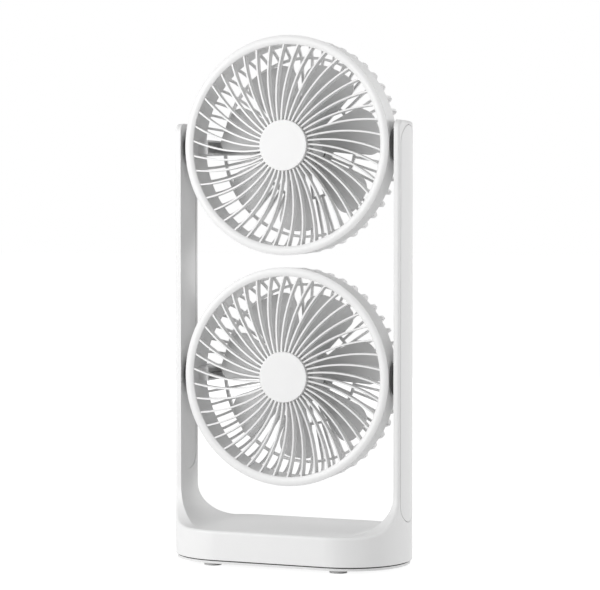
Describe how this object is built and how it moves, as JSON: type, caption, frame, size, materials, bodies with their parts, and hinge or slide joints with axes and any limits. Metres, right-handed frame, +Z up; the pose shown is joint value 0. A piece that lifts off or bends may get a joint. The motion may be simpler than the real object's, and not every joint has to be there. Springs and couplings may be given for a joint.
{
  "type": "twin desk fan",
  "caption": "Desk fan with a pair of round grilled heads, one above the other, that tilt on side pivots between the slim arms of a U frame rising from an oblong base.",
  "frame": {"origin": "on the desk, under the middle of the base, at the bottom of the rubber feet", "axes": "+Z up the arms, -Y the front that the air leaves by, +X the right arm seen from the front"},
  "size_m": [0.1694, 0.088, 0.3619],
  "materials": {
    "white_shell": "satin moulded",
    "grey_plastic": "matte moulded",
    "dark_plastic": "matte moulded",
    "rubber": "matte",
    "pale_rubber": "matte",
    "steel": "plain",
    "bronze": "plain sintered",
    "copper_wire": "enamelled",
    "magnet": "plain",
    "battery_pouch": "satin",
    "circuit_board": "solder mask",
    "wire_jacket": "satin"
  },
  "bodies": {
    "stand": {"u_frame": "white_shell", "left_arm_cover": "white_shell", "right_arm_cover": "white_shell", "bottom_plate": "white_shell", "rubber_feet": "pale_rubber", "bottom_screws": "steel", "pivot_bushes": "white_shell", "battery_pack": "battery_pouch", "battery_leads": "wire_jacket", "control_board": "circuit_board", "board_screws": "steel", "charging_socket": "steel", "button_switch": "dark_plastic", "upper_fan_wire": "wire_jacket", "lower_fan_wire": "wire_jacket"},
    "button": {"speed_button": "white_shell", "switch_plunger": "dark_plastic"},
    "upper_head": {"upper_front_grille": "white_shell", "upper_hub_cap": "white_shell", "upper_rear_cage": "white_shell", "upper_pivot_pins": "grey_plastic", "upper_friction_washers": "rubber", "upper_motor_base": "grey_plastic", "upper_motor_screws": "steel", "upper_motor_board": "circuit_board", "upper_motor_leads": "wire_jacket", "upper_motor_bearings": "bronze", "upper_stator_core": "steel", "upper_stator_windings": "copper_wire"},
    "upper_rotor": {"upper_impeller": "white_shell", "upper_rotor_yoke": "steel", "upper_rotor_magnet": "magnet", "upper_motor_shaft": "steel", "upper_shaft_clip": "steel"},
    "lower_head": {"lower_front_grille": "white_shell", "lower_hub_cap": "white_shell", "lower_rear_cage": "white_shell", "lower_pivot_pins": "grey_plastic", "lower_friction_washers": "rubber", "lower_motor_base": "grey_plastic", "lower_motor_screws": "steel", "lower_motor_board": "circuit_board", "lower_motor_leads": "wire_jacket", "lower_motor_bearings": "bronze", "lower_stator_core": "steel", "lower_stator_windings": "copper_wire"},
    "lower_rotor": {"lower_impeller": "white_shell", "lower_rotor_yoke": "steel", "lower_rotor_magnet": "magnet", "lower_motor_shaft": "steel", "lower_shaft_clip": "steel"}
  },
  "joints": [
    {"name": "upper_tilt", "type": "hinge", "parent": "stand", "child": "upper_head", "pos_m": [0, 0, 0.2869], "axis": [1, 0, 0], "range_deg": [-90, 90]},
    {"name": "upper_spin", "type": "hinge", "parent": "upper_head", "child": "upper_rotor", "pos_m": [0, 0, 0.2869], "axis": [0, -1, 0], "continuous": true},
    {"name": "lower_tilt", "type": "hinge", "parent": "stand", "child": "lower_head", "pos_m": [0, 0, 0.1288], "axis": [1, 0, 0], "range_deg": [-90, 90]},
    {"name": "lower_spin", "type": "hinge", "parent": "lower_head", "child": "lower_rotor", "pos_m": [0, 0, 0.1288], "axis": [0, -1, 0], "continuous": true},
    {"name": "button_press", "type": "slide", "parent": "stand", "child": "button", "axis": [0, -1, 0], "range_m": [0, 0.001], "stiffness_N_per_m": 1500, "springref_m": -0.0005}
  ]
}
